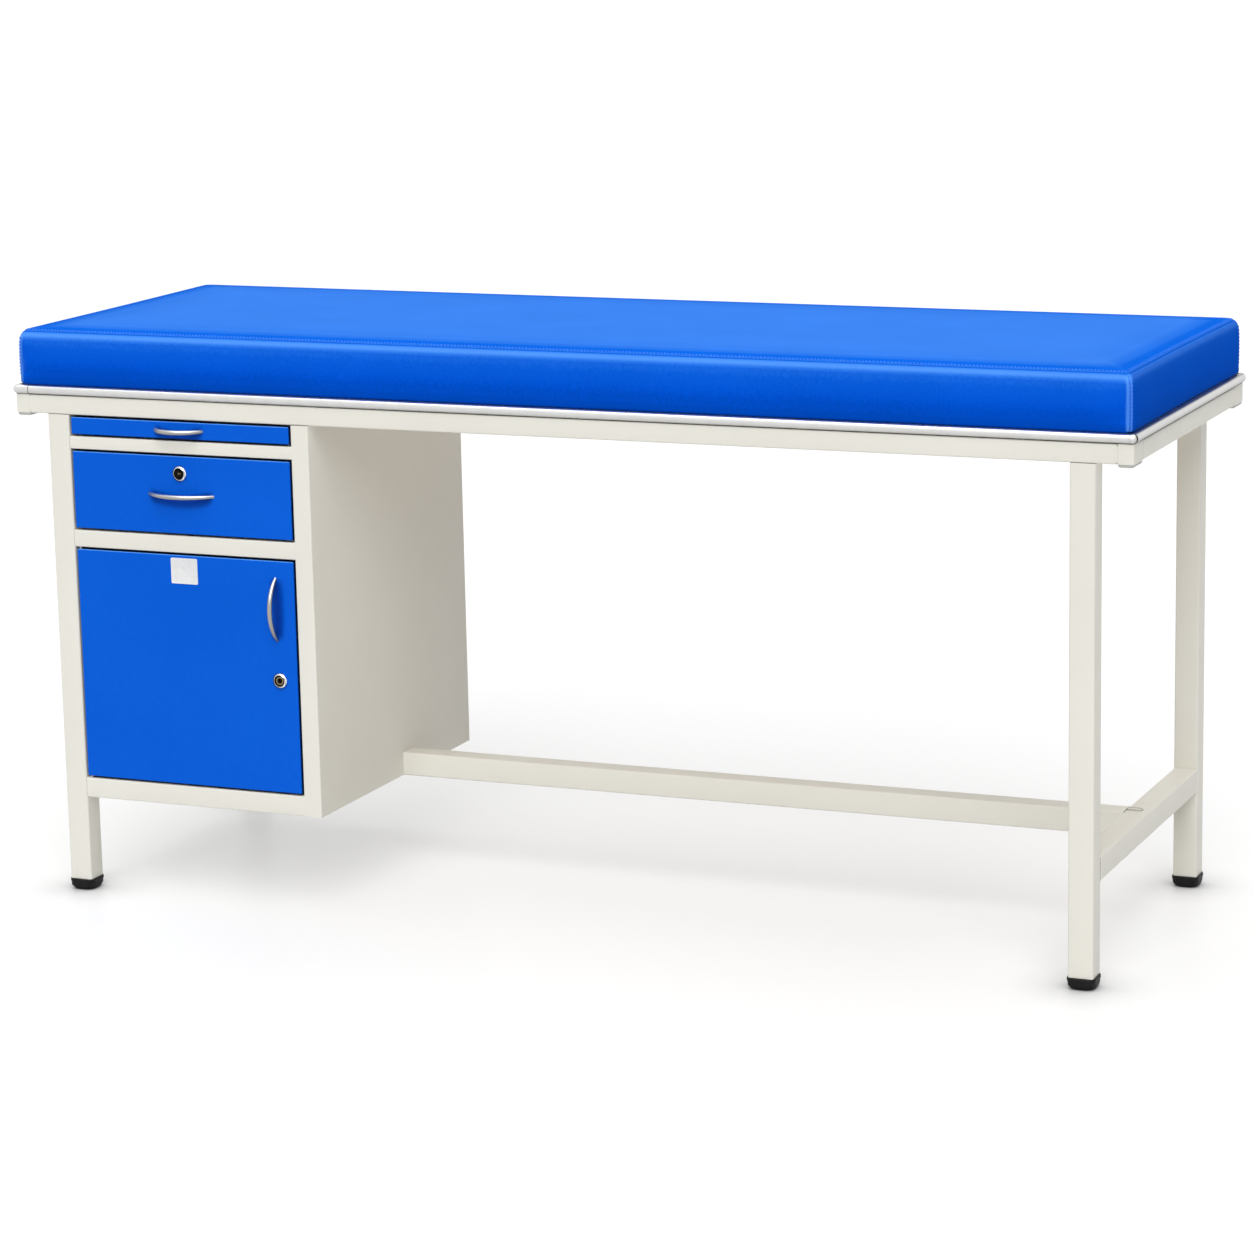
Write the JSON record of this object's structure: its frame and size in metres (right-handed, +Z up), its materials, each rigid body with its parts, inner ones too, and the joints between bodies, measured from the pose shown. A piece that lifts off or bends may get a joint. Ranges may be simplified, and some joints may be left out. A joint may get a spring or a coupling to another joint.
{
  "type": "examination table",
  "caption": "Examination table: padded mattress on a tube frame, with a cabinet under one end holding a pull-out tray, a drawer and a hinged door.",
  "frame": {"origin": "on the floor, under the middle of the object's bounding box", "axes": "+X along the couch away from the cabinet, -Y towards the front with the drawer and door, +Z up"},
  "size_m": [1.83, 0.6514, 0.9106],
  "materials": {
    "ivory_powder_coat": "satin powder coat",
    "blue_gloss_paint": "gloss paint",
    "blue_vinyl": "satin vinyl upholstery",
    "pale_foam": "matt open-cell foam",
    "plywood": "matt raw board",
    "satin_aluminium": "satin",
    "satin_nickel": "satin nickel plate",
    "polished_chrome": "polished",
    "zinc_plated_steel": "zinc plate",
    "black_rubber": "matt",
    "black_plug": "blackened",
    "grey_plastic": "satin",
    "blank_plate": "satin, blank"
  },
  "bodies": {
    "frame": {"leg_front_left": "ivory_powder_coat", "leg_front_right": "ivory_powder_coat", "leg_rear_left": "ivory_powder_coat", "leg_rear_right": "ivory_powder_coat", "corner_socket_front_left": "ivory_powder_coat", "corner_socket_front_right": "ivory_powder_coat", "corner_socket_rear_left": "ivory_powder_coat", "corner_socket_rear_right": "ivory_powder_coat", "rail_front": "ivory_powder_coat", "rail_rear": "ivory_powder_coat", "rail_left": "ivory_powder_coat", "rail_right": "ivory_powder_coat", "deck_bearer_left": "ivory_powder_coat", "deck_bearer_right": "ivory_powder_coat", "end_stretcher_left": "ivory_powder_coat", "end_stretcher_right": "ivory_powder_coat", "long_stretcher": "ivory_powder_coat", "stretcher_tab": "ivory_powder_coat", "cabinet_side_left": "ivory_powder_coat", "cabinet_side_right": "ivory_powder_coat", "cabinet_back": "ivory_powder_coat", "cabinet_floor": "ivory_powder_coat", "cabinet_divider": "ivory_powder_coat", "front_rail_upper": "ivory_powder_coat", "front_rail_middle": "ivory_powder_coat", "front_rail_lower": "ivory_powder_coat", "shoe_front_left": "black_rubber", "shoe_front_right": "black_rubber", "shoe_rear_left": "black_rubber", "shoe_rear_right": "black_rubber", "corner_plug_front_left": "grey_plastic", "corner_plug_front_right": "grey_plastic", "corner_plug_rear_left": "grey_plastic", "corner_plug_rear_right": "grey_plastic", "deck_board": "plywood", "edge_strip_front": "satin_aluminium", "edge_strip_rear": "satin_aluminium", "edge_strip_left": "satin_aluminium", "edge_strip_right": "satin_aluminium", "mattress_cover": "blue_vinyl", "mattress_foam": "pale_foam", "tray_runner_left": "zinc_plated_steel", "tray_runner_right": "zinc_plated_steel", "drawer_runner_left": "zinc_plated_steel", "drawer_runner_right": "zinc_plated_steel", "door_pin_top": "zinc_plated_steel", "door_pin_bottom": "zinc_plated_steel"},
    "tray": {"tray_front": "blue_gloss_paint", "tray_pan": "ivory_powder_coat", "tray_handle": "satin_nickel"},
    "drawer": {"drawer_front": "blue_gloss_paint", "drawer_box": "ivory_powder_coat", "drawer_handle": "satin_nickel", "drawer_lock_body": "polished_chrome"},
    "drawer_lock": {"drawer_lock_plug": "black_plug"},
    "door": {"door_panel": "blue_gloss_paint", "door_handle": "satin_nickel", "door_lock_body": "polished_chrome", "door_plate": "blank_plate"},
    "door_lock": {"door_lock_plug": "black_plug"}
  },
  "joints": [
    {"name": "tray_slide", "type": "slide", "parent": "frame", "child": "tray", "axis": [0, -1, 0], "range_m": [0, 0.33]},
    {"name": "drawer_slide", "type": "slide", "parent": "frame", "child": "drawer", "axis": [0, -1, 0], "range_m": [0, 0.35]},
    {"name": "door_hinge", "type": "hinge", "parent": "frame", "child": "door", "pos_m": [-0.808, -0.29485, 0.3765], "axis": [0, 0, 1], "range_deg": [-110, 0]},
    {"name": "drawer_lock_turn", "type": "hinge", "parent": "drawer", "child": "drawer_lock", "pos_m": [-0.62, -0.29935, 0.6915], "axis": [0, 1, 0], "range_deg": [0, 90]},
    {"name": "door_lock_turn", "type": "hinge", "parent": "door", "child": "door_lock", "pos_m": [-0.457, -0.29935, 0.372], "axis": [0, -1, 0], "range_deg": [0, 90]}
  ]
}
